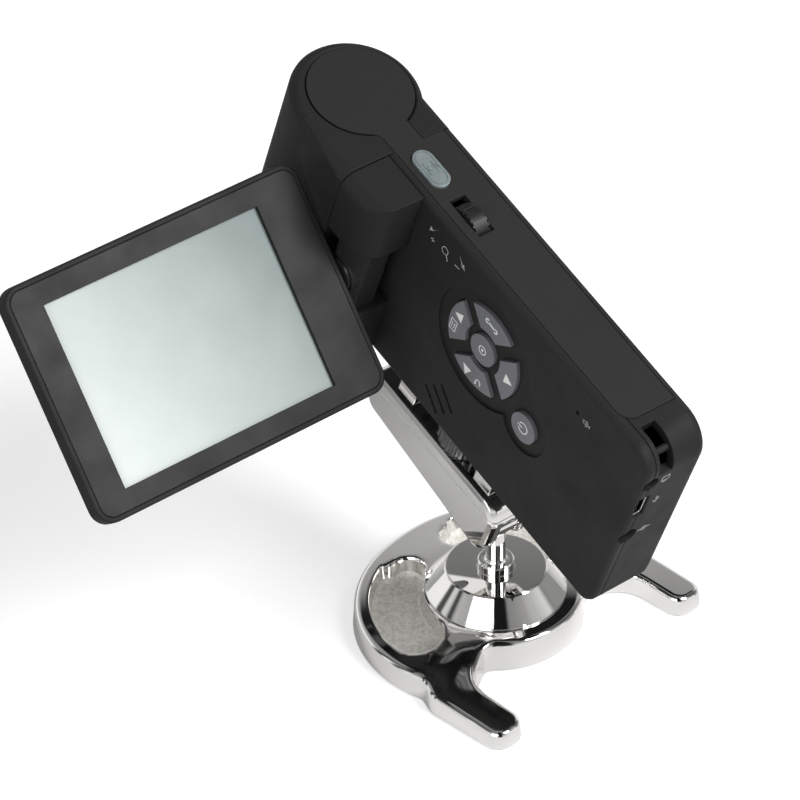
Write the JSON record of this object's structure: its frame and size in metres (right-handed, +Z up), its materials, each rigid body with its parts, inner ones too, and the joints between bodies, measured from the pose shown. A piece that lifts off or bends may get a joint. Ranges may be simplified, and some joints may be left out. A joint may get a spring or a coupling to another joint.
{
  "type": "lcd digital microscope",
  "caption": "Handheld digital microscope with a vertical lens barrel, a slab body with a keypad and a fold-out swivelling screen, clamped on a chrome table stand.",
  "frame": {"origin": "on the table under the stand's stem", "axes": "+Z up; +X from the stem towards the tail of the body, the way the base's legs roughly point; -Y towards the open screen and the user"},
  "size_m": [0.1429, 0.1473, 0.1371],
  "materials": {
    "satin_black": "satin, fine grain",
    "smooth_black": "semi-gloss",
    "grey_keys": "satin",
    "silver_key": "silver paint",
    "bright_chrome": "mirror",
    "plain_steel": "turned",
    "black_rubber": "matt",
    "yellow_brass": "turned",
    "clear_glass": "polished",
    "display": "glossy",
    "circuit_board": "lacquered",
    "led_resin": "clear",
    "battery_wrap": "film"
  },
  "bodies": {
    "base": {"stand_base": "bright_chrome", "base_collar": "bright_chrome", "base_feet": "black_rubber", "base_screw": "plain_steel", "socket_ring": "bright_chrome"},
    "stem": {"stand_stem": "bright_chrome"},
    "microscope": {"stem_pin": "plain_steel", "arm_bar": "bright_chrome", "arm_cap": "bright_chrome", "arm_pads": "black_rubber", "tripod_bush": "yellow_brass", "front_shell": "satin_black", "back_shell": "satin_black", "head_housing": "satin_black", "top_cover": "satin_black", "hinge_tower": "satin_black", "fold_pin": "plain_steel", "wheel_axle": "plain_steel", "strap_bar": "satin_black", "video_jack": "smooth_black", "usb_socket": "plain_steel", "power_jack": "smooth_black", "lens_ring": "smooth_black", "lens_glass": "clear_glass", "led_ring": "led_resin", "optics_tube": "smooth_black", "main_board": "circuit_board", "battery_pack": "battery_wrap", "speaker": "plain_steel", "shell_screws": "plain_steel"},
    "clamp": {"clamp_wheel": "plain_steel"},
    "knuckle": {"fold_knuckle": "satin_black"},
    "swivel": {"swivel_shaft": "plain_steel"},
    "screen": {"screen_case": "satin_black", "screen_bezel": "satin_black", "lcd_glass": "display", "screen_board": "circuit_board"},
    "up_button": {"key_up": "grey_keys"},
    "right_button": {"key_right": "grey_keys"},
    "down_button": {"key_down": "grey_keys"},
    "left_button": {"key_left": "grey_keys"},
    "ok_button": {"key_ok": "grey_keys"},
    "power_button": {"key_power": "grey_keys"},
    "shutter_button": {"shutter_key": "silver_key"},
    "dial": {"focus_wheel": "smooth_black"}
  },
  "joints": [
    {"name": "stem_pan", "type": "hinge", "parent": "base", "child": "stem", "pos_m": [0, 0, 0.0162], "axis": [0, 0, 1], "continuous": true},
    {"name": "arm_tilt", "type": "hinge", "parent": "stem", "child": "microscope", "pos_m": [0, 0, 0.0305], "axis": [0, 1, 0], "range_deg": [-25, 30]},
    {"name": "clamp_turn", "type": "hinge", "parent": "microscope", "child": "clamp", "pos_m": [-0.01006, 0, 0.05032], "axis": [0.3584, 0, 0.9336], "continuous": true},
    {"name": "lcd_fold", "type": "hinge", "parent": "microscope", "child": "knuckle", "pos_m": [-0.03059, -0.0161, 0.09591], "axis": [0.3584, 0, 0.9336], "range_deg": [0, 90]},
    {"name": "lcd_level", "type": "hinge", "parent": "knuckle", "child": "swivel", "pos_m": [-0.03059, -0.0161, 0.09591], "axis": [0, 1, 0], "range_deg": [0, 59]},
    {"name": "lcd_swivel", "type": "hinge", "parent": "swivel", "child": "screen", "pos_m": [-0.03059, -0.0161, 0.09591], "axis": [0, -1, 0], "range_deg": [-59, 180]},
    {"name": "up_press", "type": "slide", "parent": "microscope", "child": "up_button", "axis": [0, 1, 0], "range_m": [0, 0.0004], "stiffness_N_per_m": 400, "springref_m": -0.0003},
    {"name": "right_press", "type": "slide", "parent": "microscope", "child": "right_button", "axis": [0, 1, 0], "range_m": [0, 0.0004], "stiffness_N_per_m": 400, "springref_m": -0.0003},
    {"name": "down_press", "type": "slide", "parent": "microscope", "child": "down_button", "axis": [0, 1, 0], "range_m": [0, 0.0004], "stiffness_N_per_m": 400, "springref_m": -0.0003},
    {"name": "left_press", "type": "slide", "parent": "microscope", "child": "left_button", "axis": [0, 1, 0], "range_m": [0, 0.0004], "stiffness_N_per_m": 400, "springref_m": -0.0003},
    {"name": "ok_press", "type": "slide", "parent": "microscope", "child": "ok_button", "axis": [0, 1, 0], "range_m": [0, 0.0004], "stiffness_N_per_m": 400, "springref_m": -0.0003},
    {"name": "power_press", "type": "slide", "parent": "microscope", "child": "power_button", "axis": [0, 1, 0], "range_m": [0, 0.0004], "stiffness_N_per_m": 400, "springref_m": -0.0003},
    {"name": "shutter_press", "type": "slide", "parent": "microscope", "child": "shutter_button", "axis": [-0.3584, 0, -0.9336], "range_m": [0, 0.0004], "stiffness_N_per_m": 400, "springref_m": -0.0003},
    {"name": "dial_turn", "type": "hinge", "parent": "microscope", "child": "dial", "pos_m": [-0.00615, -0.0026, 0.11298], "axis": [0, 1, 0], "continuous": true}
  ],
  "couplings": [
    {"joint": "lcd_level", "follows": "lcd_fold", "ratio": 0.6555}
  ]
}
